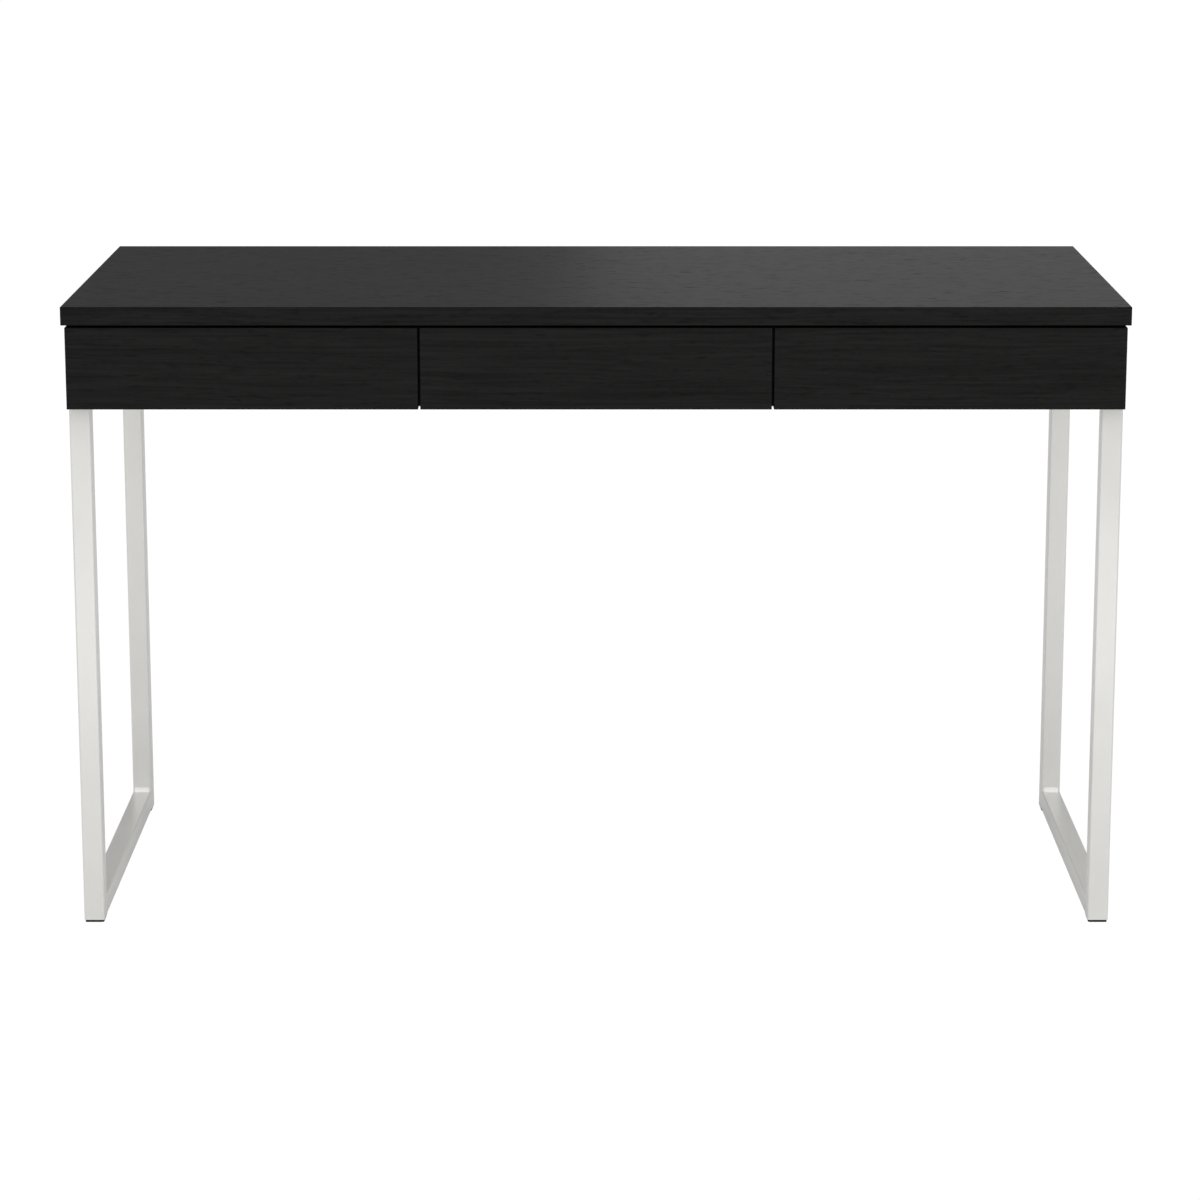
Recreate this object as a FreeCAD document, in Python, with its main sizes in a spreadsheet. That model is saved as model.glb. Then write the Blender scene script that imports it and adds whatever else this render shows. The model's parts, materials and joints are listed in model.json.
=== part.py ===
import FreeCAD, Part
import math
import os
from types import SimpleNamespace

import Sketcher

# A writing desk with three drawers that have no handles, on two steel sled frames.
#
# Frame of the part: millimetres, +X along the desk's width, -Y towards the person sitting at
# it, +Z up. The origin is on the floor, under the middle of the desktop.
#
# The desktop lies on two side panels, two partitions and a back panel. Each side panel stands
# on a frame of square tube: two legs and a floor bar between them, welded, with a flat strip on
# top that is bolted into the panel. Each of the three bays between the panels carries a drawer
# on a pair of roller runners. The lower edge of a drawer front hangs below its box, and a hand
# pulls the drawer open behind that edge.

SIZES = {
    # the whole desk
    "DeskWidth": 1260,
    "DeskDepth": 520,
    "DeskHeight": 764,
    "TopThick": 22,
    "EdgeRound": 0.6,
    # the carcass under the desktop
    "SideOverhang": 4,
    "RearSetback": 19,
    "SideThick": 22,
    "PartitionThick": 16,
    "PartitionLift": 1,
    "BackThick": 16,
    # the drawer fronts
    "FrontSetback": 3,
    "FrontThick": 15,
    "FrontHeight": 98,
    "FrontTopGap": 3,
    "FrontGap": 2.5,
    "ClosedGap": 1,
    # the drawer boxes
    "BoxLift": 20,
    "BoxLength": 400,
    "BoxHeight": 62,
    "BoxThick": 12,
    "BottomThick": 3,
    "GrooveLift": 8,
    "GrooveDepth": 5.5,
    "GrooveSlack": 0.2,
    "BottomTongue": 5,
    # the leg frames
    "TubeSide": 25,
    "TubeWall": 1.5,
    "TubeRound": 2.5,
    "StripThick": 4,
    "WeldLeg": 5,
    "FootThick": 3,
    "FootInset": 1.1,
    "PlugSide": 21.6,
    "PlugLength": 18,
    "PlugWall": 2.5,
    # the roller runners
    "RunnerGap": 12.5,
    "RunnerSteel": 1.2,
    "RunnerInset": 1,
    "ChannelReach": 10,
    "RollerRadius": 8,
    "RollerWidth": 6,
    "RollerRound": 0.8,
    "RollerLift": 5.5,
    "RollClear": 0.3,
    "PinRadius": 2,
    "PinClear": 0.1,
    "PinHeadRadius": 3.2,
    "PinHeadThick": 0.8,
    "PinInset": 12,
    "BayRollerStart": 2.4,
    "DrawerRollerStart": 4.2,
    "FlangeStart": 2.8,
    "FlangeClear": 0.7,
    "DrawerTravel": 300,
    "StopStart": 2.4,
    "StopWidth": 5,
    "StopHeight": 3.8,
    "WallScrewPlace": 40,
    "WallScrewPitch": 288,
    "WallScrewStagger": 32,
    "FlangeScrewPlace": 60,
    "FlangeScrewPitch": 270,
    # the bolts and screws
    "BoltRadius": 3,
    "BoltLength": 18,
    "BoltHeadRadius": 5.25,
    "BoltHeadThick": 3.3,
    "BoltCrownRadius": 3.7,
    "BoltRimThick": 1.1,
    "BoltHoleClear": 0.3,
    "HexFlat": 4,
    "HexDepth": 2,
    "BoltPitch": 120,
    "NutRadius": 5,
    "NutLength": 15,
    "ScrewRadius": 1.75,
    "ScrewHeadRadius": 3.5,
    "WaferThick": 1,
    "CrossDepth": 0.5,
    "ScrewHoleClear": 0.2,
    "WallScrewLength": 11,
    "BoxScrewLength": 28,
    "BoxScrewHeadThick": 2,
    "FlangeScrewLength": 8.5,
    "BackScrewRadius": 2.5,
    "BackScrewLength": 48,
    "BackScrewHeadRadius": 4,
    "BackScrewHeadThick": 2.5,
    "HoleClear": 0.1,
    # the joints of the boards
    "BoxJointHeight": 24,
    "BoxJointPitch": 24,
    "BackJointHeight": 25,
    "BackJointPitch": 50,
    "CamRadius": 7.5,
    "CamDepth": 12.5,
    "BoxCamDepth": 10,
    "CamRecess": 2,
    "CamReach": 34,
    "BoxCamReach": 24,
    "CamBoltRadius": 2.5,
    "CamBoltAnchor": 11,
    "CamBoltNeckRadius": 1.75,
    "CamBoltNeckLength": 3.5,
    "CamBoltHeadRadius": 3.4,
    "CamBoltHeadLength": 3.5,
    "CamBoltHeadPast": 0.5,
    "CamLineInset": 8,
    "CamPitch": 320,
    "DowelRadius": 4,
    "DowelLength": 30,
    "DowelAnchor": 11,
    "DowelPitch": 384,
}

FULL_TURN = 360
HALF_TURN = 180
X_AXIS_OF_SKETCH = -1
Y_AXIS_OF_SKETCH = -2
BAYS = ("left", "middle", "right")
# The least volume that a cut takes away, and the least cosine between parallel directions.
LEAST_CUT = 1e-3
PARALLEL = 0.999
# How many times longer a cross recess is than its arms are wide.
CROSS_SLENDERNESS = 5

# Each face of a board: the origin plane that its holes are drawn on, which way the plane is
# moved to reach the face, and whether the cut runs along the plane's normal.
FACES = {
    "left": ("YZ_Plane", 1, True),
    "right": ("YZ_Plane", 1, False),
    "front": ("XZ_Plane", -1, False),
    "back": ("XZ_Plane", -1, True),
    "bottom": ("XY_Plane", 1, True),
    "top": ("XY_Plane", 1, False),
}


class Size:
    """A number together with the formula of spreadsheet cells that it comes from."""

    def __init__(self, number, formula):
        self.number = number
        self.formula = formula

    def __add__(self, other):
        other = as_size(other)
        return Size(self.number + other.number, f"({self.formula} + {other.formula})")

    def __radd__(self, other):
        return as_size(other) + self

    def __sub__(self, other):
        other = as_size(other)
        return Size(self.number - other.number, f"({self.formula} - {other.formula})")

    def __rsub__(self, other):
        return as_size(other) - self

    def __mul__(self, other):
        other = as_size(other)
        return Size(self.number * other.number, f"({self.formula} * {other.formula})")

    def __rmul__(self, other):
        return as_size(other) * self

    def __truediv__(self, other):
        other = as_size(other)
        return Size(self.number / other.number, f"({self.formula} / {other.formula})")

    def __neg__(self):
        return 0 - self


def as_size(value):
    """Turn a bare number into a size; leave a size as it is."""
    if isinstance(value, Size):
        return value
    return Size(float(value), f"({float(value)!r})")


def make_sheet(sizes):
    """Write the driving dimensions into the document's spreadsheet, one alias to a row."""
    sheet = doc.addObject("Spreadsheet::Sheet", "Sizes")
    for row, (alias, number) in enumerate(sizes.items(), start=1):
        sheet.set(f"A{row}", alias)
        sheet.set(f"B{row}", str(number))
        sheet.setAlias(f"B{row}", alias)
    doc.recompute()
    read = {alias: Size(float(sheet.get(alias)), f"Sizes.{alias}") for alias in sizes}
    return SimpleNamespace(**read)


doc = FreeCAD.newDocument("WritingDesk")
dim = make_sheet(SIZES)

# Heights
top_underside = dim.DeskHeight - dim.TopThick
fronts_top = top_underside - dim.FrontTopGap
body_bottom = fronts_top - dim.FrontHeight
inner_bottom = body_bottom + dim.PartitionLift
box_bottom = body_bottom + dim.BoxLift
strip_bottom = body_bottom - dim.StripThick
bar_top = dim.FootThick + dim.TubeSide

# Places from front to back
front_face = dim.FrontSetback - dim.DeskDepth / 2
front_rear = front_face + dim.FrontThick
carcass_front = front_rear + dim.ClosedGap
carcass_rear = dim.DeskDepth / 2 - dim.RearSetback
carcass_depth = carcass_rear - carcass_front
partition_depth = carcass_depth - dim.BackThick
frame_bore_length = carcass_depth - 2 * dim.TubeSide

# Places across the width
body_width = dim.DeskWidth - 2 * dim.SideOverhang
inner_width = body_width - 2 * dim.SideThick
bay_width = (inner_width - 2 * dim.PartitionThick) / 3
bay_pitch = bay_width + dim.PartitionThick
front_width = (body_width - 2 * dim.FrontGap) / 3
front_pitch = front_width + dim.FrontGap
box_width = bay_width - 2 * dim.RunnerGap
box_inside = box_width - 2 * dim.BoxThick
tube_line = body_width / 2 - dim.TubeSide / 2
cam_line = inner_width / 2 + dim.CamLineInset

# Runner section, as heights over the lower edge of the drawer's side
flange_underside = dim.RollerLift + dim.RollerRadius + dim.RollClear
flange_top = flange_underside + dim.RunnerSteel
channel_floor = dim.RollerLift - dim.RollerRadius - dim.RollClear
channel_bottom = channel_floor - dim.RunnerSteel
channel_height = flange_top + dim.FlangeClear + dim.RunnerSteel - channel_bottom
channel_middle = channel_bottom + channel_height / 2

# Runner places from front to back
channel_front = carcass_front + dim.RunnerInset
member_length = dim.BoxLength - dim.RunnerInset
bay_roller_y = channel_front + dim.PinInset
drawer_roller_y = front_rear + dim.BoxLength - dim.PinInset
drawer_roller_open_y = drawer_roller_y - dim.DrawerTravel

# Joints of the boards
groove_height = dim.BottomThick + dim.GrooveSlack
box_joint_heights = (dim.BoxJointHeight, dim.BoxJointHeight + dim.BoxJointPitch)
back_joint_heights = (dim.BackJointHeight, dim.BackJointHeight + dim.BackJointPitch)
flange_screw_places = (dim.FlangeScrewPlace, dim.FlangeScrewPlace + dim.FlangeScrewPitch)


def bind(item, path, size):
    """Tie a property of an object to the formula of a size."""
    item.setExpression(path, as_size(size).formula)


def new_body(label, x=0, y=0, z=0, turn=0):
    """Start a sub-part with its origin at x, y, z, turned about its own vertical axis."""
    body = doc.addObject("PartDesign::Body", label)
    body.Label = label
    body.AllowCompound = True
    turned = FreeCAD.Rotation(FreeCAD.Vector(0, 0, 1), turn)
    body.Placement = FreeCAD.Placement(FreeCAD.Vector(), turned)
    bind(body, "Placement.Base.x", x)
    bind(body, "Placement.Base.y", y)
    bind(body, "Placement.Base.z", z)
    return body


def origin_item(body, role):
    """Find a plane or an axis of a body's own origin."""
    return next(item for item in body.Origin.OriginFeatures if item.Role == role)


def new_sketch(body, role, offset=0):
    """Start a sketch on an origin plane, moved along the plane's normal."""
    sketch = body.newObject("Sketcher::SketchObject", "Sketch")
    sketch.AttachmentSupport = [(origin_item(body, role), "")]
    sketch.MapMode = "FlatFace"
    bind(sketch, "AttachmentOffset.Base.z", offset)
    return sketch


def spot(across, up):
    """A point of a sketch as FreeCAD takes it."""
    return FreeCAD.Vector(as_size(across).number, as_size(up).number, 0)


def hold_point(sketch, item, end, across, up):
    """Fix one point of a sketch at two distances from the sketch's origin."""
    holds = (("DistanceX", Y_AXIS_OF_SKETCH, across), ("DistanceY", X_AXIS_OF_SKETCH, up))
    for kind, axis, size in holds:
        size = as_size(size)
        if size.number == 0:
            sketch.addConstraint(Sketcher.Constraint("PointOnObject", item, end, axis))
        else:
            index = sketch.addConstraint(Sketcher.Constraint(kind, -1, 1, item, end, size.number))
            bind(sketch, f"Constraints[{index}]", size)


def draw_outline(sketch, corners):
    """Draw a closed outline of straight lines through its corners."""
    spots = [spot(across, up) for across, up in corners]
    first = sketch.GeometryCount
    count = len(corners)
    for index in range(count):
        sketch.addGeometry(Part.LineSegment(spots[index], spots[(index + 1) % count]))
    for index, (across, up) in enumerate(corners):
        following = first + (index + 1) % count
        sketch.addConstraint(Sketcher.Constraint("Coincident", first + index, 2, following, 1))
        hold_point(sketch, first + index, 1, across, up)


def draw_rectangle(sketch, across, up, width, height):
    """Draw an upright rectangle from its lower left corner."""
    right = across + width
    top = up + height
    draw_outline(sketch, [(across, up), (right, up), (right, top), (across, top)])


def draw_circle(sketch, across, up, radius):
    """Draw a circle about a point."""
    radius = as_size(radius)
    circle = Part.Circle(spot(across, up), FreeCAD.Vector(0, 0, 1), radius.number)
    item = sketch.addGeometry(circle)
    hold_point(sketch, item, 3, across, up)
    index = sketch.addConstraint(Sketcher.Constraint("Radius", item, radius.number))
    bind(sketch, f"Constraints[{index}]", radius)


def draw_hexagon(sketch, flat):
    """Draw a hexagon about the sketch's origin from its width across the flats."""
    corner = flat / math.sqrt(3)
    angles = [math.radians(60 * index + 30) for index in range(6)]
    draw_outline(sketch, [(corner * math.cos(angle), corner * math.sin(angle)) for angle in angles])


def draw_axis(sketch, start, end):
    """Add a construction line to a sketch, to turn a half section about, and name it for revolve."""
    line = sketch.addGeometry(Part.LineSegment(spot(*start), spot(*end)), True)
    hold_point(sketch, line, 1, *start)
    hold_point(sketch, line, 2, *end)
    return "Axis0"


def add_feature(sketch, kind, length, reverse):
    """Pad or pocket a sketch, along its plane's normal or against it."""
    feature = sketch.getParentGeoFeatureGroup().newObject(f"PartDesign::{kind}", kind)
    feature.Profile = sketch
    feature.Reversed = reverse
    bind(feature, "Length", length)
    return feature


def pad(sketch, length, reverse=False):
    """Grow a solid from a sketch, along the plane's normal unless reversed."""
    return add_feature(sketch, "Pad", length, reverse)


def pocket(sketch, depth, reverse=False):
    """Cut a sketch's area away, against the plane's normal unless reversed."""
    return add_feature(sketch, "Pocket", depth, reverse)


def revolve(sketch, axis):
    """Turn a half section once about an axis of its sketch."""
    feature = sketch.getParentGeoFeatureGroup().newObject("PartDesign::Revolution", "Revolution")
    feature.Profile = sketch
    feature.ReferenceAxis = (sketch, [axis])
    feature.Angle = FULL_TURN
    return feature


def round_edges(body, radius, wanted=None):
    """Round the edges of the body's last feature that the test picks, or all of them."""
    doc.recompute()
    last = body.Tip
    edges = enumerate(last.Shape.Edges, start=1)
    names = [f"Edge{number}" for number, edge in edges if wanted is None or wanted(edge)]
    fillet = body.newObject("PartDesign::Fillet", "Fillet")
    fillet.Base = (last, names)
    bind(fillet, "Radius", radius)
    return fillet


def runs_along(direction):
    """Make a test for straight edges that are parallel to a direction."""
    def test(edge):
        if edge.Curve.TypeId != "Part::GeomLine":
            return False
        return abs(edge.tangentAt(edge.FirstParameter).dot(direction)) > PARALLEL
    return test


def is_round(edge):
    """Say whether an edge is a circle or part of one."""
    return edge.Curve.TypeId == "Part::GeomCircle"


def mirror_all(body, role):
    """Add the mirror image of the whole body in one of its origin planes."""
    doc.recompute()
    feature = body.newObject("PartDesign::Mirrored", "Mirrored")
    feature.TransformMode = "Whole shape"
    feature.MirrorPlane = (origin_item(body, role), [""])
    body.Tip = feature


def repeat(body, features, axis, count, spacing):
    """Repeat features in a row along an axis of the body."""
    doc.recompute()
    pattern = body.newObject("PartDesign::LinearPattern", "LinearPattern")
    pattern.Originals = features
    pattern.Direction = (origin_item(body, axis), [""])
    pattern.Occurrences = count
    bind(pattern, "Length", spacing * (count - 1))
    body.Tip = pattern
    return pattern


def repeat_grid(body, features, axis, count, spacing, second_axis, second_count, second_spacing):
    """Repeat features in a grid along two axes of the body."""
    pattern = repeat(body, features, axis, count, spacing)
    pattern.Direction2 = (origin_item(body, second_axis), [""])
    pattern.Occurrences2 = second_count
    bind(pattern, "Length2", second_spacing * (second_count - 1))
    return pattern


def drill(body, face, reach, spots, radius, depth):
    """Drill round holes into a face that lies at a given distance along its own axis."""
    role, sense, along_normal = FACES[face]
    sketch = new_sketch(body, role, sense * reach)
    for across, up in spots:
        draw_circle(sketch, across, up, radius)
    pocket(sketch, depth, along_normal)


def mill(body, face, reach, across, up, width, height, depth):
    """Mill a rectangular groove into a face."""
    role, sense, along_normal = FACES[face]
    sketch = new_sketch(body, role, sense * reach)
    draw_rectangle(sketch, across, up, width, height)
    pocket(sketch, depth, along_normal)


def board(label, x, y, z, width, depth, height):
    """Make a board from its lowest corner, with its edges broken."""
    body = new_body(label, x, y, z)
    sketch = new_sketch(body, "XY_Plane")
    draw_rectangle(sketch, 0, 0, width, depth)
    pad(sketch, height)
    round_edges(body, dim.EdgeRound)
    return body


# ---------------------------------------------------------------- the carcass

def bolt_places():
    """Places of the frame bolts from front to back, about the middle of the desk."""
    return [dim.BoltPitch * step for step in (-1.5, -0.5, 0.5, 1.5)]


def desktop():
    """The desktop, drilled from below for the cam bolts and dowels of the four uprights."""
    body = board("desktop", -dim.DeskWidth / 2, -dim.DeskDepth / 2, top_underside,
                 dim.DeskWidth, dim.DeskDepth, dim.TopThick)
    inner_line = cam_line - bay_pitch
    lines = [dim.DeskWidth / 2 + line for line in (-cam_line, -inner_line, inner_line, cam_line)]
    for pitch, radius in ((dim.CamPitch, dim.CamBoltRadius), (dim.DowelPitch, dim.DowelRadius)):
        rows = [dim.DeskDepth / 2 + side * pitch / 2 for side in (-1, 1)]
        spots = [(line, row) for line in lines for row in rows]
        drill(body, "bottom", 0, spots, radius + dim.HoleClear, dim.CamBoltAnchor + dim.HoleClear)


def drill_upright(body, height, line, cam_face, cam_reach):
    """Drill an upright for the cam fittings and dowels that hold the desktop on it."""
    rows = [-carcass_front + side * dim.CamPitch / 2 for side in (-1, 1)]
    spots = [(row, height - dim.CamReach) for row in rows]
    drill(body, cam_face, cam_reach, spots, dim.CamRadius + dim.HoleClear, dim.CamDepth + dim.HoleClear)
    spots = [(line, row) for row in rows]
    drill(body, "top", height, spots, dim.CamBoltHeadRadius + dim.HoleClear, dim.CamReach)
    rows = [-carcass_front + side * dim.DowelPitch / 2 for side in (-1, 1)]
    spots = [(line, row) for row in rows]
    depth = dim.DowelLength - dim.DowelAnchor + dim.HoleClear
    drill(body, "top", height, spots, dim.DowelRadius + dim.HoleClear, depth)


def drill_for_runner(body, face, reach, up, stagger):
    """Drill the two pilot holes that a bay wall has for a runner's screws."""
    first = dim.RunnerInset + dim.WallScrewPlace + stagger
    spots = [(first, up), (first + dim.WallScrewPitch, up)]
    drill(body, face, reach, spots, dim.ScrewRadius + dim.HoleClear, dim.WallScrewLength)


def side_panel(hand):
    """A side panel, over a leg frame: left has hand -1 and right has hand +1."""
    label = "left_side_panel" if hand < 0 else "right_side_panel"
    x = -body_width / 2 if hand < 0 else body_width / 2 - dim.SideThick
    height = top_underside - body_bottom
    body = board(label, x, carcass_front, body_bottom, dim.SideThick, carcass_depth, height)
    face, reach = ("right", dim.SideThick) if hand < 0 else ("left", 0)
    line = dim.SideThick - dim.CamLineInset if hand < 0 else dim.CamLineInset
    drill_upright(body, height, line, face, reach)
    stagger = 0 if hand < 0 else dim.WallScrewStagger
    drill_for_runner(body, face, reach, dim.BoxLift + channel_middle, stagger)
    dowels = [(carcass_depth - dim.BackThick / 2, dim.PartitionLift + up) for up in back_joint_heights]
    drill(body, face, reach, dowels, dim.DowelRadius + dim.HoleClear, dim.DowelAnchor + dim.HoleClear)
    line = dim.TubeSide / 2 if hand < 0 else dim.SideThick - dim.TubeSide / 2
    nuts = [(line, place - carcass_front) for place in bolt_places()]
    drill(body, "bottom", 0, nuts, dim.NutRadius + dim.HoleClear, dim.BoltLength + dim.HoleClear)


def partition(hand):
    """A partition between two bays: left has hand -1 and right has hand +1."""
    label = "left_partition" if hand < 0 else "right_partition"
    x = -bay_width / 2 - dim.PartitionThick if hand < 0 else bay_width / 2
    height = top_underside - inner_bottom
    body = board(label, x, carcass_front, inner_bottom, dim.PartitionThick, partition_depth, height)
    face, reach = ("right", dim.PartitionThick) if hand < 0 else ("left", 0)
    drill_upright(body, height, dim.PartitionThick / 2, face, reach)
    up = dim.BoxLift + channel_middle - dim.PartitionLift
    drill_for_runner(body, "right", dim.PartitionThick, up, 0)
    drill_for_runner(body, "left", 0, up, dim.WallScrewStagger)
    spots = [(dim.PartitionThick / 2, up) for up in back_joint_heights]
    depth = dim.BackScrewLength - dim.BackThick + dim.HoleClear
    drill(body, "back", partition_depth, spots, dim.BackScrewRadius + dim.HoleClear, depth)


def back_panel():
    """The back panel, doweled between the side panels and screwed to the partitions."""
    height = top_underside - inner_bottom
    body = board("back_panel", -inner_width / 2, carcass_rear - dim.BackThick, inner_bottom,
                 inner_width, dim.BackThick, height)
    dowels = [(dim.BackThick / 2, up) for up in back_joint_heights]
    depth = dim.DowelLength - dim.DowelAnchor + dim.HoleClear
    for face, reach in (("left", 0), ("right", inner_width)):
        drill(body, face, reach, dowels, dim.DowelRadius + dim.HoleClear, depth)
    lines = [inner_width / 2 + side * bay_pitch / 2 for side in (-1, 1)]
    spots = [(line, up) for line in lines for up in back_joint_heights]
    drill(body, "back", dim.BackThick, spots, dim.BackScrewRadius + dim.HoleClear, dim.BackThick)
    drill(body, "back", dim.BackThick, spots, dim.BackScrewHeadRadius + dim.HoleClear,
          dim.BackScrewHeadThick)


# ---------------------------------------------------------------- the leg frames

def tube(label, x, y, z, length, upright):
    """A square tube with rounded edges, standing up or lying from front to back."""
    body = new_body(label, x, y, z)
    role = "XY_Plane" if upright else "XZ_Plane"
    direction = FreeCAD.Vector(0, 0, 1) if upright else FreeCAD.Vector(0, 1, 0)
    sketch = new_sketch(body, role)
    draw_rectangle(sketch, 0, 0, dim.TubeSide, dim.TubeSide)
    pad(sketch, length, reverse=not upright)
    round_edges(body, dim.TubeRound, runs_along(direction))
    bore = new_sketch(body, role)
    inside = dim.TubeSide - 2 * dim.TubeWall
    draw_rectangle(bore, dim.TubeWall, dim.TubeWall, inside, inside)
    pocket(bore, length, reverse=upright)


def mounting_strip(label, x):
    """The flat strip across the tops of two legs, with its four bolt holes."""
    body = new_body(label, x, carcass_front, strip_bottom)
    sketch = new_sketch(body, "XY_Plane")
    draw_rectangle(sketch, 0, 0, dim.TubeSide, carcass_depth)
    pad(sketch, dim.StripThick)
    round_edges(body, dim.TubeRound, runs_along(FreeCAD.Vector(0, 0, 1)))
    spots = [(dim.TubeSide / 2, place - carcass_front) for place in bolt_places()]
    drill(body, "top", dim.StripThick, spots, dim.BoltRadius + dim.BoltHoleClear, dim.StripThick)


def leg_frame(side):
    """The two legs, the floor bar and the mounting strip under one end of the desk."""
    x = -body_width / 2 if side == "left" else body_width / 2 - dim.TubeSide
    length = strip_bottom - dim.FootThick
    tube(f"{side}_front_leg", x, carcass_front, dim.FootThick, length, True)
    tube(f"{side}_rear_leg", x, carcass_rear - dim.TubeSide, dim.FootThick, length, True)
    tube(f"{side}_floor_bar", x, carcass_front + dim.TubeSide, dim.FootThick, frame_bore_length, False)
    mounting_strip(f"{side}_mounting_strip", x)


def frame_welds():
    """The fillet welds in the inner corners of both leg frames."""
    middle = (bar_top + strip_bottom) / 2
    body = new_body("frame_welds", 0, 0, middle)
    width = dim.TubeSide - 2 * dim.TubeRound
    sketch = new_sketch(body, "YZ_Plane", tube_line - width / 2)
    corner = -frame_bore_length / 2
    floor = bar_top - middle
    draw_outline(sketch, [(corner, floor), (corner + dim.WeldLeg, floor), (corner, floor + dim.WeldLeg)])
    pad(sketch, width)
    for role in ("YZ_Plane", "XZ_Plane", "XY_Plane"):
        mirror_all(body, role)


def leg_section(body, height, side):
    """Sketch a square about the middle of a leg, at a height over the floor."""
    sketch = new_sketch(body, "XY_Plane", height)
    leg_line = carcass_depth / 2 - dim.TubeSide / 2
    draw_rectangle(sketch, tube_line - side / 2, leg_line - side / 2, side, side)
    return sketch


def foot_plugs():
    """The plugs that close the lower ends of the four legs, and stand on the floor."""
    body = new_body("foot_plugs")
    pad(leg_section(body, 0, dim.TubeSide - 2 * dim.FootInset), dim.FootThick)
    round_edges(body, dim.TubeRound, runs_along(FreeCAD.Vector(0, 0, 1)))
    pad(leg_section(body, dim.FootThick, dim.PlugSide), dim.PlugLength)
    hollow = leg_section(body, dim.FootThick + dim.PlugLength, dim.PlugSide - 2 * dim.PlugWall)
    pocket(hollow, dim.PlugLength)
    mirror_all(body, "YZ_Plane")
    mirror_all(body, "XZ_Plane")


def frame_bolts():
    """The button-head bolts that hold the leg frames under the side panels."""
    body = new_body("frame_bolts", -tube_line, bolt_places()[0], strip_bottom)
    section = new_sketch(body, "XZ_Plane")
    low = -dim.BoltHeadThick
    draw_outline(section, [(0, low), (dim.BoltCrownRadius, low), (dim.BoltHeadRadius, -dim.BoltRimThick),
                           (dim.BoltHeadRadius, 0), (dim.BoltRadius, 0),
                           (dim.BoltRadius, dim.BoltLength), (0, dim.BoltLength)])
    bolt = revolve(section, "V_Axis")
    socket = new_sketch(body, "XY_Plane", low)
    draw_hexagon(socket, dim.HexFlat)
    socket_cut = pocket(socket, dim.HexDepth, reverse=True)
    repeat_grid(body, [bolt, socket_cut], "Y_Axis", 4, dim.BoltPitch, "X_Axis", 2, 2 * tube_line)


def insert_nuts():
    """The threaded inserts in the lower edges of the side panels."""
    body = new_body("insert_nuts", -tube_line, bolt_places()[0], body_bottom)
    ring = new_sketch(body, "XY_Plane")
    draw_circle(ring, 0, 0, dim.NutRadius)
    draw_circle(ring, 0, 0, dim.BoltRadius + dim.HoleClear)
    nut = pad(ring, dim.NutLength)
    repeat_grid(body, [nut], "Y_Axis", 4, dim.BoltPitch, "X_Axis", 2, 2 * tube_line)


# ---------------------------------------------------------------- the carcass fittings

def draw_cross(sketch, across, up, span):
    """Draw the outline of a cross recess about a point."""
    arm = span / 2
    half = arm / CROSS_SLENDERNESS
    quarter = [(arm, half), (half, half), (half, arm)]
    corners = []
    for turn in range(4):
        for right, high in quarter:
            for _ in range(turn):
                right, high = -high, right
            corners.append((across + right, up + high))
    draw_outline(sketch, corners)


def cam_opening(body, role, offset, across, up):
    """Sketch the square opening in a cam's rim for its bolt's head, about a point of a plane."""
    sketch = new_sketch(body, role, offset)
    width = 2 * (dim.CamBoltHeadRadius + dim.HoleClear)
    draw_rectangle(sketch, across - width / 2, up - width / 2, width, width)
    return sketch


def cam_lock(body, face_x, y, up, depth, opening):
    """A cam lock sunk into a board's right-hand face, with the sketched opening in its rim."""
    disc = new_sketch(body, "YZ_Plane", face_x)
    draw_circle(disc, y, up, dim.CamRadius)
    lock = pad(disc, depth, reverse=True)
    opening_cut = pocket(opening, dim.CamRadius + dim.CamBoltRadius)
    cross = new_sketch(body, "YZ_Plane", face_x)
    draw_cross(cross, y, up, dim.CamRadius)
    recess = pocket(cross, dim.CamRecess)
    return [lock, opening_cut, recess]


def cam_bolt_section(reach):
    """Half the section of a cam bolt, from its anchored end to the head inside the cam."""
    shank = dim.CamBoltRadius
    neck = dim.CamBoltNeckRadius
    head = dim.CamBoltHeadRadius
    head_end = reach + dim.CamBoltHeadPast
    neck_end = head_end - dim.CamBoltHeadLength
    shank_end = neck_end - dim.CamBoltNeckLength
    return [(0, -dim.CamBoltAnchor), (shank, -dim.CamBoltAnchor), (shank, shank_end), (neck, shank_end),
            (neck, neck_end), (head, neck_end), (head, head_end), (0, head_end)]


def cam_locks():
    """The cam locks in the side panels and partitions, under the desktop."""
    body = new_body("cam_locks", 0, -dim.CamPitch / 2, top_underside - dim.CamReach)
    face_x = -inner_width / 2
    opening = cam_opening(body, "XY_Plane", dim.CamRadius, face_x - dim.CamLineInset, 0)
    lock = cam_lock(body, face_x, 0, 0, dim.CamDepth, opening)
    repeat_grid(body, lock, "X_Axis", 2, bay_pitch, "Y_Axis", 2, dim.CamPitch)
    mirror_all(body, "YZ_Plane")


def cam_bolts():
    """The cam bolts that reach from the desktop down into the cam locks."""
    body = new_body("cam_bolts", 0, -dim.CamPitch / 2, top_underside)
    section = new_sketch(body, "XZ_Plane")
    axis_x = -cam_line
    outline = [(axis_x + radius, -along) for radius, along in cam_bolt_section(dim.CamReach)]
    draw_outline(section, outline)
    bolt = revolve(section, draw_axis(section, (axis_x, 0), (axis_x, 1)))
    repeat_grid(body, [bolt], "X_Axis", 2, bay_pitch, "Y_Axis", 2, dim.CamPitch)
    mirror_all(body, "YZ_Plane")


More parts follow.
